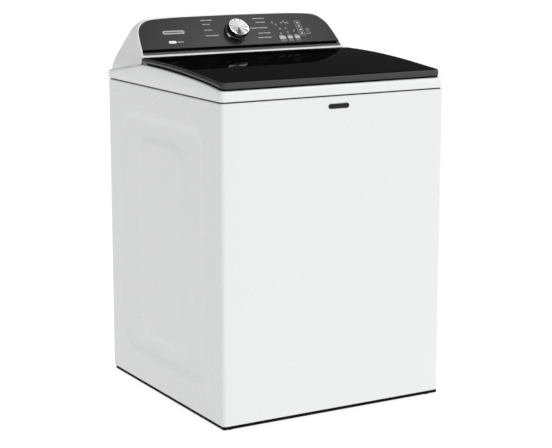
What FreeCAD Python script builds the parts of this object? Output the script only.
"""Top load washing machine.

Millimetres. +X is the machine's right seen from the front, +Y runs to the back, +Z is up.
The origin is on the floor, under the middle of the whole machine.
"""
import FreeCAD, Part
import math
import os

from FreeCAD import Vector

# Driving dimensions
WIDTH = 692.0
HALF = WIDTH / 2
FRONT_Y = -353.0
REAR_Y = 337.0
TOP_REAR_Y = 345.0
REACH_Y = 354.0
BADGE_PROUD = 1.0
CABINET_BOTTOM = 14.0
CABINET_TOP = 873.0
TOP_BOTTOM = 876.0
SHEET = 0.8
WALL = 3.0
CORNER_R = 10.0
GAP = 0.3

# Basket axis and wash system
AXIS_Y = -33.0
TUB_R = 290.0
TUB_FLOOR = 195.0
TUB_TOP = 805.0
BASKET_R = 262.0
BASKET_WALL = 0.9
BASKET_FLOOR = 226.0
RING_BOTTOM = 752.0
RING_TOP = 796.0
SPIN_R = 15.0
SHAFT_R = 8.0
INPUT_R = 10.0
FIT = 0.06
ROD_X = 265.0
ROD_DY = 258.0
ROD_R = 4.0
EAR_BOTTOM = 250.0
EAR_THICK = 16.0
SPRING_BOTTOM = 126.0

# Belt drive: the pulley turns 1 for every 2.5 turns of the motor
PULLEY_R = 66.0
MOTOR_PULLEY_R = 26.4
BELT_BOTTOM = 72.2
BELT_TOP = 81.8
BELT_THICK = 4.0
MOTOR_X = -120.0
MOTOR_Y = 82.0
PUMP_X = 150.0
PUMP_Y = -163.0

# Water and supply connections through the rear panel
VALVE_X = -125.0
VALVE_Z = 790.0
TAIL_DX = 35.0
TAIL_R = 13.4
DRAIN_X = 215.0
DRAIN_Y = 290.0
DRAIN_Z = 760.0
HOSE_TOP = 640.0
GLAND_X = 60.0
GLAND_Z = 800.0

# Lid and its hinge
LID_HALF = 341.0
LID_FRONT = -345.0
LID_REAR = 132.0
HINGE_Y = 113.0
HINGE_Z = 936.0
HINGE_PIN_R = 5.0
GLASS_INSET = 2.5
GLASS_THICK = 4.0
LOCK_X = 300.0
LOCK_Y = -203.0

# Console: its face leans back by 45 degrees
FACE_TILT = 45.0
FACE_Y = 142.5
FACE_Z = 956.5
KNOB_X = -6.0
KNOB_S = 67.0
STEM_R = 5.2

SHAPES = {}


def box(x0, x1, y0, y1, z0, z1):
    return Part.makeBox(x1 - x0, y1 - y0, z1 - z0, Vector(x0, y0, z0))


def cylinder(x, y, z0, z1, radius):
    return Part.makeCylinder(radius, z1 - z0, Vector(x, y, z0))


def rod_between(start, end, radius):
    start = Vector(*start)
    end = Vector(*end)
    return Part.makeCylinder(radius, (end - start).Length, start, end - start)


def fuse(shapes):
    result = shapes[0]
    for shape in shapes[1:]:
        result = result.fuse(shape)
    return result.removeSplitter()


def rounded_outline(x0, x1, y0, y1, front_r, rear_r):
    """Closed wire in the XY plane with round corners."""
    corners = [(x0, y0, front_r, 180), (x1, y0, front_r, 270), (x1, y1, rear_r, 0), (x0, y1, rear_r, 90)]
    edges = []
    last = None
    first = None
    for x, y, radius, start in corners:
        cx = x + radius if x == x0 else x - radius
        cy = y + radius if y == y0 else y - radius
        arc = Part.makeCircle(radius, Vector(cx, cy, 0), Vector(0, 0, 1), start, start + 90)
        begin = arc.Vertexes[0].Point
        if last is None:
            first = begin
        else:
            edges.append(Part.makeLine(last, begin))
        edges.append(arc)
        last = arc.Vertexes[-1].Point
    edges.append(Part.makeLine(last, first))
    return Part.Wire(edges)


def prism(x0, x1, y0, y1, z0, z1, front_r=0.01, rear_r=0.01):
    wire = rounded_outline(x0, x1, y0, y1, front_r, rear_r)
    wire.translate(Vector(0, 0, z0))
    return Part.Face(wire).extrude(Vector(0, 0, z1 - z0))


def side_profile(points, x0, x1):
    """Polygon of (y, z) points, extruded along X."""
    wire = Part.makePolygon([Vector(x0, y, z) for y, z in points + points[:1]])
    return Part.Face(wire).extrude(Vector(x1 - x0, 0, 0))


def front_profile(points, y0, y1):
    """Polygon of (x, z) points, extruded along Y."""
    wire = Part.makePolygon([Vector(x, y0, z) for x, z in points + points[:1]])
    return Part.Face(wire).extrude(Vector(0, y1 - y0, 0))


def turned(points, x=0.0, y=AXIS_Y):
    """Polygon of (radius, z) points, turned round a vertical axis."""
    wire = Part.makePolygon([Vector(r, 0, z) for r, z in points + points[:1]])
    solid = Part.Face(wire).revolve(Vector(0, 0, 0), Vector(0, 0, 1), 360)
    return solid.translated(Vector(x, y, 0))


def ring(radius_out, radius_in, z0, z1, x=0.0, y=AXIS_Y):
    return cylinder(x, y, z0, z1, radius_out).cut(cylinder(x, y, z0 - 1, z1 + 1, radius_in))


def spread(shape, count, x=0.0, y=AXIS_Y, start=0.0):
    """Copies of a shape, evenly spaced round a vertical axis."""
    copies = []
    for index in range(count):
        copy = shape.copy()
        copy.rotate(Vector(x, y, 0), Vector(0, 0, 1), start + 360.0 / count * index)
        copies.append(copy)
    return copies


def mirrored(shape):
    return shape.mirror(Vector(0, 0, 0), Vector(1, 0, 0))


def on_face(shape):
    """Moves a shape from the console face's own frame (x, up the slope, outward) into place."""
    placed = shape.copy()
    placed.rotate(Vector(0, 0, 0), Vector(1, 0, 0), FACE_TILT)
    return placed.translated(Vector(0, FACE_Y, FACE_Z))


def shifted(points, dy, dz):
    return [(y + dy, z + dz) for y, z in points]


def pipe(points, outer, bore=0.0):
    """Hose of straight runs and tangent arcs through the points."""
    path = [Vector(*point) for point in points]
    edges = []
    last = path[0]
    for before, corner, after in zip(path, path[1:], path[2:]):
        inward = (before - corner).normalize()
        outward = (after - corner).normalize()
        half = inward.getAngle(outward) / 2
        shorter = min((before - corner).Length, (after - corner).Length)
        reach = 0.45 * shorter
        bisector = (inward + outward).normalize()
        radius = reach * math.tan(half)
        centre = corner + bisector * (reach / math.cos(half))
        start = corner + inward * reach
        end = corner + outward * reach
        edges.append(Part.makeLine(last, start))
        edges.append(Part.Arc(start, centre - bisector * radius, end).toShape())
        last = end
    edges.append(Part.makeLine(last, path[-1]))
    wire = Part.Wire(edges)
    direction = (path[1] - path[0]).normalize()
    solid = wire.makePipeShell([Part.Wire(Part.makeCircle(outer, path[0], direction))], True, False)
    if bore:
        solid = solid.cut(wire.makePipeShell([Part.Wire(Part.makeCircle(bore, path[0], direction))], True,
                                             False))
    return solid


# Cabinet

def side_emboss():
    """Nested shallow panels pressed into a side wall: (outer recess, inner raised panel)."""
    def frustum(y0, y1, z0, z1, slope, x_open, x_deep):
        wide = Part.makePolygon([Vector(x_open, y, z) for y, z in
                                 [(y0, z0), (y1, z0), (y1, z1), (y0, z1), (y0, z0)]])
        deep = Part.makePolygon([Vector(x_deep, y, z) for y, z in
                                 [(y0 + slope, z0 + slope), (y1 - slope, z0 + slope),
                                  (y1 - slope, z1 - slope), (y0 + slope, z1 - slope),
                                  (y0 + slope, z0 + slope)]])
        return Part.makeLoft([wide, deep], True, True)
    depth = 3.5
    recess = frustum(-248, 255, 93, 800, 22, HALF, HALF - depth)
    raised = frustum(-140, 152, 150, 740, 22, HALF - depth, HALF - 0.8)
    return recess, raised


def cabinet_wrap():
    outer = prism(-HALF, HALF, FRONT_Y, REAR_Y, CABINET_BOTTOM, CABINET_TOP, CORNER_R, 2.0)
    inner = prism(-HALF + SHEET, HALF - SHEET, FRONT_Y + SHEET, REAR_Y + 5, CABINET_BOTTOM - 1,
                  CABINET_TOP + 1,
                  CORNER_R - SHEET, 1.0)
    shell = outer.cut(inner)
    top_flange = prism(-HALF + 1, HALF - 1, FRONT_Y + 1, REAR_Y - 4, CABINET_TOP - SHEET, CABINET_TOP, 9.0,
                       1.0)
    flange_hole = box(-HALF + 16, HALF - 16, FRONT_Y + 16, REAR_Y + 1, CABINET_TOP - 3, CABINET_TOP + 1)
    shell = shell.fuse(top_flange.cut(flange_hole))
    recess, raised = side_emboss()
    for flip in (False, True):
        pocket = mirrored(recess) if flip else recess
        boss = mirrored(raised) if flip else raised
        inward = Vector(SHEET if flip else -SHEET, 0, 0)
        shell = shell.fuse(pocket.translated(inward)).cut(pocket)
        shell = shell.fuse(boss).cut(boss.translated(inward))
        edge = HALF if flip else -HALF
        rear_flange = box(min(-edge, -edge * 0.942), max(-edge, -edge * 0.942), REAR_Y - SHEET, REAR_Y,
                          CABINET_BOTTOM + 1, CABINET_TOP)
        shell = shell.fuse(rear_flange.common(outer))
    for shank in screw_shanks():
        shell = shell.cut(shank)
    return shell.removeSplitter()


def rear_panel():
    width = HALF - SHEET - 0.5
    plate = box(-width, width, REAR_Y - 2 * SHEET - 0.2, REAR_Y - SHEET - 0.2, CABINET_BOTTOM + 2,
                CABINET_TOP - 2)
    swage = box(-260, 260, REAR_Y - SHEET - 0.3, REAR_Y - SHEET + 1.0, 0, 24)
    shapes = [plate]
    for height in (140, 260, 380, 500, 620):
        shapes.append(swage.translated(Vector(0, 0, height)))
    plate = fuse(shapes)
    tails = [(x, VALVE_Z, TAIL_R + 1.5) for x in valve_places()]
    for x, z, radius in tails + [(DRAIN_X, DRAIN_Z, 17.3), (GLAND_X, GLAND_Z, 11.3)]:
        plate = plate.cut(rod_between((x, 300, z), (x, 360, z), radius))
    for shank in screw_shanks():
        plate = plate.cut(shank)
    return plate


def base_frame():
    upper = prism(-344, 344, -351, 332.5, 16, 40, 8.0, 1.0)
    plinth = prism(-340, 340, -347, 330, 6, 17, 6.0, 1.0)
    frame = upper.fuse(plinth)
    frame = frame.cut(prism(-295, 295, -302, 285, 0, 50, 20.0, 20.0))
    channel = prism(-337.5, 337.5, -344.5, 327.5, 5, 37.5, 4.0, 1.0)
    frame = frame.cut(channel.cut(prism(-297.5, 297.5, -304.5, 287.5, 0, 50, 22.0, 22.0)))
    for x, y in foot_places():
        frame = frame.fuse(cylinder(x, y, 18, 39, 13))
        frame = frame.cut(cylinder(x, y, 0, 60, 5.08))
    return frame.removeSplitter()


def foot_places():
    return [(-317.5, -324.5), (317.5, -324.5), (-317.5, 307.5), (317.5, 307.5)]


def levelling_foot(x, y):
    pad = turned([(0, 0), (16, 0), (18, 2), (18, 6), (12, 10), (0, 10)], x, y)
    hexagon = Part.Face(Part.makePolygon([Vector(x + 9.8 * math.cos(math.radians(60 * i)),
                                                 y + 9.8 * math.sin(math.radians(60 * i)), 10)
                                          for i in range(7)])).extrude(Vector(0, 0, 6))
    stem = cylinder(x, y, 10, 58, 5.0)
    return fuse([pad, hexagon, stem])


def corner_braces():
    braces = []
    for x_sign in (-1, 1):
        for y_corner, y_sign, leg in ((FRONT_Y + SHEET, 1, 185), (REAR_Y - 2 * SHEET - 0.2, -1, 215)):
            corner_x = x_sign * (HALF - SHEET)
            wire = Part.makePolygon([Vector(corner_x - x_sign * 10, y_corner, 846),
                                     Vector(corner_x - x_sign * leg, y_corner, 846),
                                     Vector(corner_x, y_corner + y_sign * leg, 846),
                                     Vector(corner_x, y_corner + y_sign * 10, 846),
                                     Vector(corner_x - x_sign * 10, y_corner, 846)])
            plate = Part.Face(wire).extrude(Vector(0, 0, 4))
            rod_y = AXIS_Y - y_sign * ROD_DY
            braces.append(plate.cut(cylinder(x_sign * ROD_X, rod_y, 840, 855, 8)))
    return Part.makeCompound(braces)


def rod_places():
    return [(x, y) for x in (-ROD_X, ROD_X) for y in (AXIS_Y - ROD_DY, AXIS_Y + ROD_DY)]


def suspension_rods():
    rods = []
    for x, y in rod_places():
        ball_z = 850 + math.sqrt(11 ** 2 - 8 ** 2)
        ball = Part.makeSphere(11, Vector(x, y, ball_z))
        seat = turned([(0, 118), (20, 118), (22, SPRING_BOTTOM), (0, SPRING_BOTTOM)], x, y)
        rods.append(fuse([ball, cylinder(x, y, 120, ball_z, ROD_R), seat]))
    return Part.makeCompound(rods)


def suspension_springs():
    wire_r = 2.2
    coil_r = 14.0
    springs = []
    length = EAR_BOTTOM - SPRING_BOTTOM - 2 * wire_r
    helix = Part.makeHelix(length / 8, length, coil_r)
    start = Vector(coil_r, 0, 0)
    section = Part.Wire(Part.makeCircle(wire_r, start, Vector(0, 1, 0)))
    coil = Part.Wire(helix.Edges).makePipeShell([section], True, True)
    for x, y in rod_places():
        springs.append(coil.translated(Vector(x, y, SPRING_BOTTOM + wire_r)))
    return Part.makeCompound(springs)


# Top panel

def rim_line():
    """Upper edge of the top panel's side wall, from the front to the console."""
    return [(-353, 894.5), (-350, 899.8), (-343, 903.6), (-300, 910), (-235, 917), (-160, 922.6),
            (-90, 926.6),
            (-10, 929.8), (60, 931.6), (111, 932)]


def console_joint_line():
    """Where the console's end caps stand on the top panel, from front to back."""
    return [(111, 932), (126, 929.8), (186, 920.2), (255, 910.2), (311, 901.6), (338, 897.4)]


def top_panel():
    rear_edge = [(TOP_REAR_Y - 3, 895), (TOP_REAR_Y, 886), (TOP_REAR_Y, TOP_BOTTOM)]
    outline = [(FRONT_Y, TOP_BOTTOM)] + rim_line() + console_joint_line()[1:] + rear_edge
    plan = prism(-HALF, HALF, FRONT_Y, TOP_REAR_Y, 800, 960, 12.0, 8.0)
    outer = side_profile(outline, -HALF, HALF).common(plan)
    deck_under = shifted(rim_line()[3:], 0, -WALL)
    hollow = [(-349.5, 870), (-349.5, 897), (-340, 901.3)] + deck_under + shifted(console_joint_line()[1:5],
                                                                                  0, -WALL)
    hollow = hollow + [(TOP_REAR_Y - 3 - WALL, 893), (TOP_REAR_Y - WALL, 885), (TOP_REAR_Y - WALL, 870)]
    inner_plan = prism(-HALF + WALL, HALF - WALL, FRONT_Y + WALL, TOP_REAR_Y - WALL, 800, 960, 9.0, 5.0)
    shell = outer.cut(side_profile(hollow, -HALF, HALF).common(inner_plan))
    tray = box(-HALF + 2, HALF - 2, 93, 142, 906, 936)
    well = box(-HALF + 3.5, HALF - 3.5, 96, 139, 909, 970)
    shell = shell.fuse(tray.common(outer)).cut(well)
    mouth = prism(-215, 215, -256, 74, 840, 970, 150.0, 150.0)
    shell = shell.cut(mouth)
    funnel = prism(-218, 218, -259, 77, 848, 935, 153.0, 153.0).cut(mouth)
    under_deck = side_profile([(-340, 800)] + shifted(rim_line()[2:], 0, -1.0) + [(111, 800)], -HALF, HALF)
    shell = shell.fuse(funnel.common(under_deck))
    rib = prism(-HALF + 4, HALF - 4, FRONT_Y + 4, REAR_Y - 8, CABINET_TOP + 0.1, 884, 8.0, 2.0)
    rib = rib.cut(prism(-HALF + 6, HALF - 6, FRONT_Y + 6, REAR_Y - 10, 860, 890, 7.0, 2.0))
    brackets = box(-HALF + 2, -HALF + 5, -300, 280, 878, 882)
    front_tie = box(-300, 300, FRONT_Y + 2, FRONT_Y + 5, 878, 882)
    rear_tie = box(-300, 300, REAR_Y - 11, TOP_REAR_Y - 1, 880, 883)
    shell = fuse([shell, rib, brackets, mirrored(brackets), front_tie, rear_tie])
    shell = shell.cut(box(LOCK_X - 5, LOCK_X + 7, LOCK_Y - 13, LOCK_Y + 13, 890, 960))
    shell = shell.cut(box(-300, -232, -230, -160, 890, 960))
    for bumper in lid_bumpers().Solids:
        shell = shell.cut(bumper)
    return shell.removeSplitter()


def bleach_cup():
    """Open cup let into the deck beside the opening, with a spout into the tub."""
    body = box(-299.5, -232.5, -229.5, -160.5, 872, 917)
    body = body.cut(box(-297, -235, -227, -163, 875, 930))
    deck = side_profile([(-353, 800)] + shifted(rim_line()[3:], 0, -0.5) + [(111, 800)], -HALF, HALF)
    body = body.common(deck)
    spout = box(-233, -221, -200, -190, 872, 882)
    return fuse([body, spout])


def lid_bumpers():
    bumpers = []
    for x, y in ((-318, -300), (318, -300), (-318, 40), (318, 40)):
        bumpers.append(cylinder(x, y, deck_height(y) - 3.2, height_on(lid_under(), y - 6) - 0.15, 6))
    return Part.makeCompound(bumpers)


def height_on(line, y):
    for (y0, z0), (y1, z1) in zip(line, line[1:]):
        if y0 <= y <= y1:
            return z0 + (z1 - z0) * (y - y0) / (y1 - y0)
    return line[-1][1]


def deck_height(y):
    return height_on(rim_line(), y)


# Lid

def lid_under():
    return [(-345, 908.3), (-323, 913.3), (-243, 921.8), (-173, 927.6), (-118, 931.8), (-53, 935), (13, 937),
            (100, 937.8), (132, 937.8)]


def lid_over():
    return [(-342.5, 925), (-322, 926.8), (-285, 930), (-223, 935.6), (-156, 940.9), (-88, 945), (-18, 948),
            (57, 949.3), (132, 949.3)]


def lid_band(lower, upper):
    return side_profile(lower + upper[::-1], -HALF, HALF)


def lid_frame():
    front = [(-345, 922.5)]
    band = side_profile(lid_under() + lid_over()[::-1] + front, -HALF, HALF)
    frame = band.common(prism(-LID_HALF, LID_HALF, LID_FRONT, LID_REAR, 880, 980, 15.0, 10.0))
    top = shifted(lid_over(), 0, 3)
    seat = lid_band([(y, z - GLASS_THICK) for y, z in lid_over()], top)
    frame = frame.cut(seat.common(glass_outline(0.0)))
    frame = frame.cut(prism(-285, 285, -268, 70, 880, 980, 60.0, 60.0))
    for side in (-1, 1):
        ear = box(min(side * 254, side * 270), max(side * 254, side * 270), HINGE_Y - 8, HINGE_Y + 8,
                  HINGE_Z - 8, HINGE_Z + 4)
        frame = frame.fuse(ear)
        notch = box(min(side * 271, side * 286), max(side * 271, side * 286), HINGE_Y - 14, LID_REAR + 1,
                    HINGE_Z - 12, HINGE_Z + 8.6)
        frame = frame.cut(notch)
    frame = frame.cut(rod_between((-300, HINGE_Y, HINGE_Z), (300, HINGE_Y, HINGE_Z), HINGE_PIN_R))
    return frame.fuse(lid_strike()).removeSplitter()


def glass_outline(clear):
    inset = GLASS_INSET + clear
    return prism(-LID_HALF + inset, LID_HALF - inset, LID_FRONT + inset, LID_REAR - 3 - clear, 880, 980,
                 12.5, 6.0)


def lid_glass():
    lower = [(y, z - GLASS_THICK + 0.02) for y, z in lid_over()]
    return lid_band(lower, lid_over()).common(glass_outline(0.1))


def lid_hinge_pins():
    pins = []
    for side in (-1, 1):
        pins.append(rod_between((side * 254, HINGE_Y, HINGE_Z), (side * 285, HINGE_Y, HINGE_Z), HINGE_PIN_R))
    return Part.makeCompound(pins)


def lid_hinge_brackets():
    brackets = []
    for side in (-1, 1):
        x0 = min(side * 272, side * 285)
        x1 = max(side * 272, side * 285)
        post = box(x0, x1, HINGE_Y - 8, HINGE_Y + 4, 909, HINGE_Z)
        head = rod_between((x0, HINGE_Y, HINGE_Z), (x1, HINGE_Y, HINGE_Z), 8)
        hole = rod_between((x0 - 1, HINGE_Y, HINGE_Z), (x1 + 1, HINGE_Y, HINGE_Z), HINGE_PIN_R + FIT)
        brackets.append(fuse([post, head]).cut(hole))
    return Part.makeCompound(brackets)


def lid_strike():
    """Blade moulded under the lid frame, with a window for the lock's bolt."""
    plate = box(LOCK_X - 1.5, LOCK_X + 1.5, LOCK_Y - 8, LOCK_Y + 8, 888, 929)
    return plate.cut(box(LOCK_X - 5, LOCK_X + 5, LOCK_Y - 4.5, LOCK_Y + 4.5, 892, 902))


def lid_lock():
    """Lock housing under the deck, with a channel for the bolt."""
    body = box(LOCK_X - 46, LOCK_X - 6, LOCK_Y - 18, LOCK_Y + 18, 884, 910)
    body = body.cut(box(LOCK_X - 44, LOCK_X - 5, LOCK_Y - 3.4, LOCK_Y + 3.4, 893.6, 900.4))
    return body.fuse(box(LOCK_X - 46, LOCK_X - 6, LOCK_Y + 18, LOCK_Y + 26, 884, 890))


def lid_lock_bolt():
    return box(LOCK_X - 36, LOCK_X - 6.5, LOCK_Y - 3, LOCK_Y + 3, 894, 900)


# Console

def console_side_line():
    """Console section from the lip round to the back."""
    return [(136, 950.5), (144, 955), (150, 958.5), (153, 966), (236, 1049.5),
            (239.5, 1052.5)] + console_back_line()


def console_back_line():
    """Back of the console from the top edge down to the top panel."""
    return [(244, 1053.5), (249, 1051), (252, 1043), (255, 1030), (260, 1015), (270, 1000), (284, 985),
            (297, 970),
            (308, 957), (317, 943), (324, 928), (331, 912), (337, 899)]


def console_front_line():
    """Half outline of the console seen from the front, leaning in and rounded at the top."""
    return [(342, 895), (341.5, 915), (337, 935), (331, 953), (327.5, 969), (323, 993), (316, 1015),
            (306, 1029.5), (290, 1041), (262, 1049), (200, 1052.2), (130, 1053), (0, 1053.5)]


def console_hull(inset):
    side = console_side_line()
    joint = shifted(console_joint_line()[::-1][1:], 0, 0.3)
    outline = side + joint
    solid = side_profile(outline, -HALF, HALF)
    half = [(x - inset, z - inset * (z > 1030)) for x, z in console_front_line()]
    front = half + [(-x, z) for x, z in half[::-1][1:]]
    lid_swing = box(-HALF, HALF, 90, HINGE_Y + 25.6, 880, 950.6)
    return solid.common(front_profile(front, 90, 400)).cut(lid_swing)


def console_body():
    shell = console_hull(0.0)
    side = [(147, 940), (147, 952), (156, 964.8), (234, 1043), (239, 1048.3)]
    side = side + shifted(console_back_line(), -3.6, -1.6)[1:] + [(334, 890), (147, 890)]
    half = [(x - WALL, z - WALL * (z > 1030)) for x, z in console_front_line()]
    front = half + [(-x, z) for x, z in half[::-1][1:]]
    front = [(x, z - 30 if z < 900 else z) for x, z in front]
    inner = side_profile(side, -HALF, HALF).common(front_profile(front, 90, 400))
    shell = shell.cut(inner)
    seat = on_face(face_plate(0.3, -8.0, 4.0))
    shell = shell.cut(seat)
    shell = shell.cut(box(-HALF + 16.5, HALF - 16.5, 90, 157, 890, 969))
    return shell.fuse(console_lip()).removeSplitter()


def face_outline(clear):
    """Outline of the control panel on its own plane: (x, distance up the slope)."""
    half = [(324, 17.7), (319.5, 52), (313, 83), (303, 102), (286, 117.5), (258, 127), (200, 131),
            (130, 132.6),
            (0, 133.6)]
    grown = [(x + clear, s + (clear if s > 100 else 0)) for x, s in half]
    return grown + [(-x, s) for x, s in grown[::-1][1:]]


def face_plate(clear, low, high):
    points = face_outline(clear)
    wire = Part.makePolygon([Vector(x, s, low) for x, s in points + points[:1]])
    return Part.Face(wire).extrude(Vector(0, 0, high - low))


def console_fascia():
    plate = on_face(face_plate(0.0, -WALL, 0.0))
    ledge = side_profile([(146.5, 955.6), (156.5, 960.2), (153.6, 969.2), (155.8, 969.6), (158.8, 960.0),
                          (157.8, 958.2), (147.5, 953.6)], -323, 323)
    panel = plate.fuse(ledge)
    cuts = [Part.makeCylinder(STEM_R + 0.8, 20, Vector(KNOB_X, KNOB_S, -10))]
    for x, s, half_x, half_s, _ in buttons():
        cuts.append(Part.makeBox(2 * half_x + 0.8, 2 * half_s + 0.8, 20,
                                 Vector(x - half_x - 0.4, s - half_s - 0.4, -10)))
    for x0, x1, s0, s1 in windows():
        cuts.append(Part.makeBox(x1 - x0, s1 - s0, 20, Vector(x0, s0, -10)))
    for cut in cuts:
        panel = panel.cut(on_face(cut))
    return panel.removeSplitter()


def buttons():
    """(x, distance up the slope, half width, half height, name)."""
    return [(138.5, 32.5, 11, 10.5, "option_button_left"), (164.5, 32.5, 8.5, 10.5, "option_button_middle"),
            (188.5, 32.5, 9, 10.5, "option_button_right"), (233, 62, 7.5, 7.5, "start_button")]


def windows():
    return [(204, 218, 44, 98)]


def push_button(x, s, half_x, half_s):
    cap = Part.makeBox(2 * half_x, 2 * half_s, 5.6, Vector(x - half_x, s - half_s, -3.6))
    cap = cap.makeFillet(1.0, [edge for edge in cap.Edges if edge.BoundBox.ZMin > 1.9])
    flange = Part.makeBox(2 * half_x + 3, 2 * half_s + 3, 1.2,
                          Vector(x - half_x - 1.5, s - half_s - 1.5, -4.6))
    stem = Part.makeCylinder(2.5, 5, Vector(x, s, -9.0))
    return on_face(fuse([cap, flange, stem]))


def status_window():
    panes = []
    for x0, x1, s0, s1 in windows():
        panes.append(on_face(Part.makeBox(x1 - x0 - 0.2, s1 - s0 - 0.2, WALL + 0.4,
                                          Vector(x0 + 0.1, s0 + 0.1, -WALL))))
    return Part.makeCompound(panes)


def selector_ring():
    outline = [(6.2, 0), (35.5, 0), (36, 2.5), (33.5, 7.2), (31.5, 8.6), (6.2, 8.6)]
    wire = Part.makePolygon([Vector(r, 0, h) for r, h in outline + outline[:1]])
    solid = Part.Face(wire).revolve(Vector(0, 0, 0), Vector(0, 0, 1), 360)
    return on_face(solid.translated(Vector(KNOB_X, KNOB_S, 0)))


def selector_knob():
    outline = [(0, 11), (STEM_R, 11), (STEM_R, 9), (31.6, 9), (32.4, 12.5), (31.8, 22.5), (30.2, 24.8),
               (0, 25.2)]
    wire = Part.makePolygon([Vector(r, 0, h) for r, h in outline + outline[:1]])
    solid = Part.Face(wire).revolve(Vector(0, 0, 0), Vector(0, 0, 1), 360)
    stem = Part.makeCylinder(STEM_R, 22, Vector(0, 0, -11))
    return on_face(solid.fuse(stem).removeSplitter().translated(Vector(KNOB_X, KNOB_S, 0)))


def control_board():
    """Circuit board with the rotary selector switch that the knob's stem turns in."""
    board = Part.makeBox(300, 84, 1.6, Vector(-30, 30, -23))
    body = Part.makeBox(32, 32, 10, Vector(KNOB_X - 16, KNOB_S - 16, -21.4))
    bush = Part.makeCylinder(9, 8, Vector(KNOB_X, KNOB_S, -11.4))
    hole = Part.makeCylinder(STEM_R + FIT, 9, Vector(KNOB_X, KNOB_S, -12.2))
    posts = [Part.makeCylinder(3, 18.4, Vector(x, s, -21.4)) for x in (-20, 260) for s in (38, 106)]
    return on_face(fuse([board, body, bush] + posts).cut(hole))


def status_lamps():
    lamps = []
    for x in (206, 211, 216):
        for s in (50, 60, 70, 80, 90):
            lamps.append(on_face(Part.makeBox(3, 3, 4, Vector(x - 1.5, s - 1.5, -21.4))))
    return Part.makeCompound(lamps)


def console_lip():
    """White strip under the control panel and the wall behind the lid."""
    section = [(136, 951.2), (144, 955.4), (146.3, 955.4), (146.3, 952.6), (142.5, 948.5), (142.5, 929.8),
               (139.6, 929.8),
               (139.6, 949.4), (137, 949.6)]
    return side_profile(section, -329.6, 329.6)


def pressure_sensor():
    body = rod_between((-120, 255, 942), (-120, 282, 942), 21)
    return body.fuse(box(-132, -108, 258, 280, 910.2, 930))


# Wash system

def outer_tub():
    wall = turned([(26, TUB_FLOOR - 27), (52, TUB_FLOOR - 27), (52, TUB_FLOOR), (TUB_R - 30, TUB_FLOOR),
                   (TUB_R - 6, TUB_FLOOR + 8), (TUB_R, TUB_FLOOR + 30), (TUB_R, TUB_TOP),
                   (TUB_R - 3.5, TUB_TOP),
                   (TUB_R - 3.5, TUB_FLOOR + 30), (TUB_R - 10, TUB_FLOOR + 12), (TUB_R - 30, TUB_FLOOR + 5),
                   (60, TUB_FLOOR + 3), (50, TUB_FLOOR + 19), (26, TUB_FLOOR + 19)])
    tub = wall
    for x, y in rod_places():
        angle = math.degrees(math.atan2(y - AXIS_Y, x))
        reach = math.hypot(x, y - AXIS_Y)
        ear = box(TUB_R - 2, reach + 22, -26, 26, EAR_BOTTOM, EAR_BOTTOM + EAR_THICK)
        web = Part.Face(Part.makePolygon([Vector(TUB_R - 2, -3, EAR_BOTTOM + EAR_THICK - 1),
                                          Vector(reach - 12, -3, EAR_BOTTOM + EAR_THICK - 1),
                                          Vector(TUB_R - 2, -3, EAR_BOTTOM + 90),
                                          Vector(TUB_R - 2, -3,
                                                 EAR_BOTTOM + EAR_THICK - 1)])).extrude(Vector(0, 6, 0))
        arm = ear.fuse(web)
        arm.rotate(Vector(0, 0, 0), Vector(0, 0, 1), angle)
        arm = arm.translated(Vector(0, AXIS_Y, 0))
        tub = tub.fuse(arm).cut(cylinder(x, y, 200, 400, 7))
    for height in (330, 480, 630, 770):
        tub = tub.fuse(ring(TUB_R + 5, TUB_R - 1, height, height + 5))
    tub = tub.cut(cylinder(PUMP_X, PUMP_Y, 150, 230, 10.5))
    return tub.removeSplitter()


def tub_cover():
    return turned([(236, TUB_TOP + 8), (238, TUB_TOP + 12), (TUB_R + 3.5, TUB_TOP + 10),
                   (TUB_R + 4, TUB_TOP - 12),
                   (TUB_R + 0.4, TUB_TOP - 12), (TUB_R + 0.4, TUB_TOP), (TUB_R - 3.5, TUB_TOP),
                   (TUB_R - 4, TUB_TOP + 6.5),
                   (240, TUB_TOP + 8), (239, TUB_TOP - 4), (236, TUB_TOP - 4)])


def tub_bearings():
    lower = ring(26, SPIN_R + FIT, TUB_FLOOR - 27, TUB_FLOOR - 15)
    upper = ring(26, SPIN_R + FIT, TUB_FLOOR + 1, TUB_FLOOR + 13)
    return Part.makeCompound([lower, upper])


def tub_seal():
    return ring(26, SPIN_R + 0.3, TUB_FLOOR + 13, TUB_FLOOR + 19)


def basket_hub():
    """Drive block bolted under the basket, with the spin tube that runs in the tub's bearings."""
    return turned([(SPIN_R, 216.5), (34, 216.5), (60, 221), (100, 222), (100, BASKET_FLOOR),
                   (30, BASKET_FLOOR),
                   (30, 234), (SHAFT_R + FIT, 234), (SHAFT_R + FIT, 150), (SPIN_R, 150)])


def wash_basket():
    inner_r = BASKET_R - BASKET_WALL
    return turned([(30, BASKET_FLOOR), (205, BASKET_FLOOR), (245, BASKET_FLOOR + 6),
                   (BASKET_R, BASKET_FLOOR + 30),
                   (BASKET_R, RING_BOTTOM), (inner_r, RING_BOTTOM), (inner_r, BASKET_FLOOR + 30.4),
                   (244.4, BASKET_FLOOR + 7.2), (205, BASKET_FLOOR + 1.2), (30, BASKET_FLOOR + 1.2)])


def balance_ring():
    return turned([(BASKET_R, RING_BOTTOM), (BASKET_R + 1, RING_TOP - 6), (BASKET_R - 6, RING_TOP),
                   (228, RING_TOP),
                   (222, RING_TOP - 5), (223, RING_BOTTOM + 6), (236, RING_BOTTOM - 6),
                   (BASKET_R - BASKET_WALL, RING_BOTTOM - 6), (BASKET_R - BASKET_WALL, RING_BOTTOM)])


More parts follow.
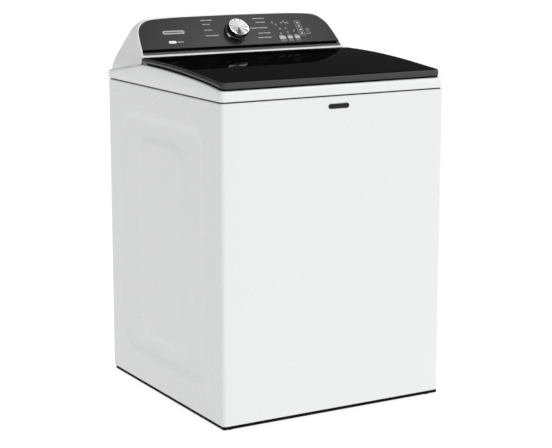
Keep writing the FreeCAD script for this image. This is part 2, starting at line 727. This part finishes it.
def wash_plate():
    plate = turned([(SHAFT_R, 237), (90, 237), (200, 238), (240, 250), (246, 262), (242, 263), (236, 253),
                    (200, 243), (90, 246), (60, 252), (SHAFT_R, 252)])
    vane = side_profile([(80, 244), (226, 247), (226, 252), (150, 268), (90, 262)], -5, 5)
    vane = vane.translated(Vector(0, AXIS_Y, 0))
    return fuse([plate] + spread(vane, 6))


def agitator():
    barrel = turned([(SHAFT_R, 252.1), (74, 252.1), (80, 262), (66, 300), (54, 350), (48, 450), (45, 560),
                     (43, 640),
                     (40, 640), (42, 560), (45, 450), (51, 350), (62, 300), (72, 268), (60, 262), (20, 262),
                     (20, 330), (SHAFT_R, 330)])
    fin = side_profile([(50, 270), (132, 270), (140, 282), (128, 335), (80, 410), (44, 450)], -3.5, 3.5)
    fin = fin.translated(Vector(0, AXIS_Y, 0))
    vane = side_profile([(44, 470), (76, 480), (80, 500), (72, 560), (42, 610)], -3, 3)
    vane = vane.translated(Vector(0, AXIS_Y, 0))
    hollow = turned([(SHAFT_R - 1, 262.5), (58, 262.5), (61, 300), (50, 350), (44, 450), (41, 560),
                     (39, 641),
                     (SHAFT_R - 1, 641)])
    post = ring(20, SHAFT_R, 262, 330)
    ribs = fuse(spread(fin, 4) + spread(vane, 4, start=45)).cut(hollow)
    return fuse([barrel, ribs, post])


def agitator_cap():
    return turned([(0, 640), (43, 640), (43, 648), (38, 658), (24, 664), (0, 666)])


def drive_shaft():
    """Shaft that carries the planets below and the agitator above."""
    carrier = ring(60, SHAFT_R - 1, 140, 146)
    shaft = cylinder(0, AXIS_Y, 139, 326, SHAFT_R)
    pins = spread(cylinder(0, AXIS_Y + 40, 118, 141, 4), 3)
    return fuse([carrier, shaft] + pins)


def planet_gears():
    return Part.makeCompound(spread(ring(23.6, 4, 118, 136, 0, AXIS_Y + 40), 3))


def gearcase():
    case = turned([(INPUT_R + FIT, 98), (40, 98), (84, 104), (86, 110), (86, 168), (52, 168), (26, 168),
                   (SPIN_R + 0.4, 168), (SPIN_R + 0.4, 160), (80, 160), (80, 140), (64, 140), (64, 112),
                   (30, 108), (INPUT_R + FIT, 108)])
    return case


def drive_pulley():
    """Belt pulley on the gearcase's input shaft, with the sun wheel at the shaft's top."""
    disc = turned([(INPUT_R, 68), (22, 68), (22, 75), (58, 75), (58, 70), (PULLEY_R + 5, 70),
                   (PULLEY_R + 5, 71.6),
                   (PULLEY_R, 72), (PULLEY_R, 82), (PULLEY_R + 5, 82.4), (PULLEY_R + 5, 84), (58, 84),
                   (58, 79),
                   (22, 79), (22, 86), (INPUT_R, 86)])
    holes = spread(cylinder(0, AXIS_Y + 40, 70, 90, 12), 6)
    for hole in holes:
        disc = disc.cut(hole)
    shaft = cylinder(0, AXIS_Y, 66, 136.5, INPUT_R)
    sun = cylinder(0, AXIS_Y, 116, 136, 16)
    return fuse([disc, shaft, sun])


def motor_pulley():
    low = BELT_BOTTOM - 2.2
    high = BELT_TOP + 2.2
    return turned([(6, low), (MOTOR_PULLEY_R + 5, low), (MOTOR_PULLEY_R + 5, low + 1.6),
                   (MOTOR_PULLEY_R, low + 2),
                   (MOTOR_PULLEY_R, high - 2), (MOTOR_PULLEY_R + 5, high - 1.6), (MOTOR_PULLEY_R + 5, high),
                   (6, high)],
                  MOTOR_X, MOTOR_Y)


def belt_outline(grow):
    """Loop of two arcs and two tangent runs round both pulleys."""
    dx = MOTOR_X
    dy = MOTOR_Y - AXIS_Y
    span = math.hypot(dx, dy)
    facing = math.atan2(dy, dx)
    big = PULLEY_R + grow
    small = MOTOR_PULLEY_R + grow
    lean = math.acos((big - small) / span)

    def at(cx, cy, radius, angle):
        return Vector(cx + radius * math.cos(angle), cy + radius * math.sin(angle), BELT_BOTTOM)

    a = at(0, AXIS_Y, big, facing + lean)
    b = at(0, AXIS_Y, big, facing + math.pi)
    c = at(0, AXIS_Y, big, facing - lean)
    d = at(MOTOR_X, MOTOR_Y, small, facing - lean)
    e = at(MOTOR_X, MOTOR_Y, small, facing)
    f = at(MOTOR_X, MOTOR_Y, small, facing + lean)
    edges = [Part.Arc(a, b, c).toShape(), Part.makeLine(c, d), Part.Arc(d, e, f).toShape(),
             Part.makeLine(f, a)]
    return Part.Face(Part.Wire(edges)).extrude(Vector(0, 0, BELT_TOP - BELT_BOTTOM))


def drive_belt():
    return belt_outline(GAP + BELT_THICK).cut(belt_outline(GAP))


def drive_motor():
    can = turned([(6.3, 94), (58, 94), (62, 98), (62, 158), (58, 162), (6.3, 162), (6.3, 156), (37, 156),
                  (37, 100),
                  (6.3, 100)], MOTOR_X, MOTOR_Y)
    lugs = spread(box(MOTOR_X + 58, MOTOR_X + 80, MOTOR_Y - 7, MOTOR_Y + 7, 154, 162), 4, MOTOR_X, MOTOR_Y,
                  20)
    posts = spread(cylinder(MOTOR_X + 70, MOTOR_Y, 160, TUB_FLOOR, 6), 4, MOTOR_X, MOTOR_Y, 20)
    return fuse([can] + lugs + posts)


def motor_rotor():
    core = cylinder(MOTOR_X, MOTOR_Y, 104, 150, 36)
    shaft = cylinder(MOTOR_X, MOTOR_Y, 66, 161, 6)
    return fuse([core, shaft])


def clutch_actuator():
    body = box(90, 140, -58, -12, 100, 142)
    post = cylinder(128, -35, 140, TUB_FLOOR, 7)
    return fuse([body, post])


def run_capacitor():
    body = rod_between((-30, -150, 165), (-120, -150, 165), 21)
    strap = box(-84, -66, -172, -128, 178, TUB_FLOOR)
    return fuse([body, strap])


def drain_pump():
    neck = cylinder(PUMP_X, PUMP_Y, 140, TUB_FLOOR, 14)
    body = cylinder(PUMP_X, PUMP_Y, 94, 142, 36)
    spout = rod_between((PUMP_X + 20, PUMP_Y, 128), (PUMP_X + 20, PUMP_Y + 60, 128), 9)
    lugs = spread(box(PUMP_X + 30, PUMP_X + 50, PUMP_Y - 8, PUMP_Y + 8, 130, 137), 2, PUMP_X, PUMP_Y, 30)
    posts = spread(cylinder(PUMP_X + 44, PUMP_Y, 131, TUB_FLOOR, 5), 2, PUMP_X, PUMP_Y, 30)
    chamber = cylinder(PUMP_X, PUMP_Y, 120, 138.5, 32)
    eye = cylinder(PUMP_X, PUMP_Y, 130, 200, 10.5)
    spout_bore = rod_between((PUMP_X + 20, PUMP_Y + 5, 128), (PUMP_X + 20, PUMP_Y + 61, 128), 6.5)
    return fuse([body, neck, spout] + lugs + posts).cut(chamber).cut(eye).cut(spout_bore)


def pump_impeller():
    hub = cylinder(PUMP_X, PUMP_Y, 121, 134, 7)
    blade = box(PUMP_X, PUMP_X + 26, PUMP_Y - 1.5, PUMP_Y + 1.5, 122, 133)
    return fuse([hub] + spread(blade, 4, PUMP_X, PUMP_Y, 10))


def drain_hose():
    """Hose from the pump, under the tub and up the back to the outlet elbow."""
    start_y = PUMP_Y + 60.2
    route = [(PUMP_X + 20, start_y, 128), (PUMP_X + 20, -40, 128), (188, 60, 128), (202, 170, 128),
             (DRAIN_X, DRAIN_Y, 128), (DRAIN_X, DRAIN_Y, 250), (DRAIN_X + 2, DRAIN_Y, 440),
             (DRAIN_X, DRAIN_Y, HOSE_TOP)]
    return pipe(route, 13.0, 10.0)


def drain_outlet():
    """Elbow through the rear panel; the house drain hose pushes on to its barb."""
    body = pipe([(DRAIN_X, DRAIN_Y, HOSE_TOP + 0.2), (DRAIN_X, DRAIN_Y, DRAIN_Z),
                 (DRAIN_X, REACH_Y, DRAIN_Z)],
                13.0, 10.0)
    barb = rod_between((DRAIN_X, 340, DRAIN_Z), (DRAIN_X, REACH_Y, DRAIN_Z), 15)
    plate = rod_between((DRAIN_X, 331, DRAIN_Z), (DRAIN_X, REAR_Y - 2 * SHEET - 0.2, DRAIN_Z), 26)
    bore = rod_between((DRAIN_X, 330, DRAIN_Z), (DRAIN_X, REACH_Y + 1, DRAIN_Z), 10)
    return fuse([body, barb, plate]).cut(bore)


def valve_places():
    return [VALVE_X - TAIL_DX, VALVE_X + TAIL_DX]


def inlet_valve():
    """Two solenoid valves with threaded hose tails through the rear panel."""
    back = REAR_Y - 2 * SHEET - 0.2
    body = box(VALVE_X - 60, VALVE_X + 60, 296, 331, VALVE_Z - 20, VALVE_Z + 22)
    plate = box(VALVE_X - 70, VALVE_X + 70, 329, back, VALVE_Z - 25, VALVE_Z + 25)
    manifold = cylinder(VALVE_X, 306, 811, 826, 9)
    shapes = [body, plate, manifold]
    bores = []
    for x in valve_places():
        shapes.append(rod_between((x, 330, VALVE_Z), (x, REACH_Y, VALVE_Z), TAIL_R))
        shapes.append(cylinder(x, 312, 811, 838, 12))
        bores.append(rod_between((x, 320, VALVE_Z), (x, REACH_Y + 1, VALVE_Z), 9.5))
    valve = fuse(shapes)
    for bore in bores:
        valve = valve.cut(bore)
    return valve


def fill_spout():
    """Duct from the valves to the nozzle that sprays over the edge of the tub."""
    nozzle = side_profile([(139.6, 868), (139.6, 892), (110, 892), (84, 884), (80, 868)], VALVE_X - 25,
                          VALVE_X + 25)
    hollow = side_profile([(136, 871), (136, 889), (110, 889), (87, 882), (83, 866), (110, 866)],
                          VALVE_X - 22, VALVE_X + 22)
    route = [(VALVE_X, 306, 826.2), (VALVE_X, 306, 880), (VALVE_X, 256, 885), (VALVE_X, 200, 882),
             (VALVE_X, 138, 880)]
    duct = pipe(route, 9.0, 6.5)
    hole = rod_between((VALVE_X, 130, 880), (VALVE_X, 145, 880), 6.5)
    return fuse([nozzle.cut(hollow), duct]).cut(hole)


def power_gland():
    """Strain relief for the supply cord in the rear panel."""
    body = rod_between((GLAND_X, 326, GLAND_Z), (GLAND_X, 346, GLAND_Z), 11)
    flange = rod_between((GLAND_X, REAR_Y - SHEET - 0.1, GLAND_Z), (GLAND_X, 340, GLAND_Z), 15)
    return fuse([body, flange]).cut(rod_between((GLAND_X, 320, GLAND_Z), (GLAND_X, 350, GLAND_Z), 4.5))


def front_badge():
    """Plain oval-ended emblem."""
    plate = box(-19, 32, FRONT_Y - BADGE_PROUD, FRONT_Y, 840, 854)
    ends = [rod_between((x, FRONT_Y - BADGE_PROUD, 847), (x, FRONT_Y, 847), 7) for x in (-19, 32)]
    return fuse([plate] + ends)


def screw_places():
    return [(side * 334, z) for side in (-1, 1) for z in (60, 240, 420, 600, 820)]


def screw_shanks():
    return [Part.makeCylinder(2.0, 9, Vector(x, REAR_Y - 9, z), Vector(0, 1, 0)) for x, z in screw_places()]


def panel_screws():
    """Round-headed screws along the rear panel's edges."""
    heads = [Part.makeCylinder(4.5, 2.4, Vector(x, REAR_Y, z), Vector(0, 1, 0)) for x, z in screw_places()]
    return Part.makeCompound([fuse([head, shank]) for head, shank in zip(heads, screw_shanks())])


def build():
    makers = [cabinet_wrap, rear_panel, base_frame, corner_braces, suspension_rods, suspension_springs,
              top_panel,
              bleach_cup, lid_bumpers, lid_frame, lid_glass, lid_hinge_pins, lid_hinge_brackets, lid_lock,
              lid_lock_bolt, console_body, console_fascia, status_window, selector_ring, selector_knob,
              control_board, status_lamps, pressure_sensor, outer_tub, tub_cover, tub_bearings, tub_seal,
              basket_hub,
              wash_basket, balance_ring, wash_plate, agitator, agitator_cap, drive_shaft, planet_gears,
              gearcase,
              drive_pulley, motor_pulley, drive_belt, drive_motor, motor_rotor, clutch_actuator,
              run_capacitor, drain_pump, pump_impeller, drain_hose, drain_outlet, inlet_valve, fill_spout,
              power_gland, front_badge, panel_screws]
    for maker in makers:
        SHAPES[maker.__name__] = maker()
    for x, s, half_x, half_s, name in buttons():
        SHAPES[name] = push_button(x, s, half_x, half_s)
    places = zip(("front_left", "front_right", "rear_left", "rear_right"), foot_places())
    for name, (x, y) in places:
        SHAPES["foot_" + name] = levelling_foot(x, y)


build()
os.makedirs("parts", exist_ok=True)
for node, shape in SHAPES.items():
    shape.exportStep("parts/" + node + ".step")
print(len(SHAPES), "nodes")
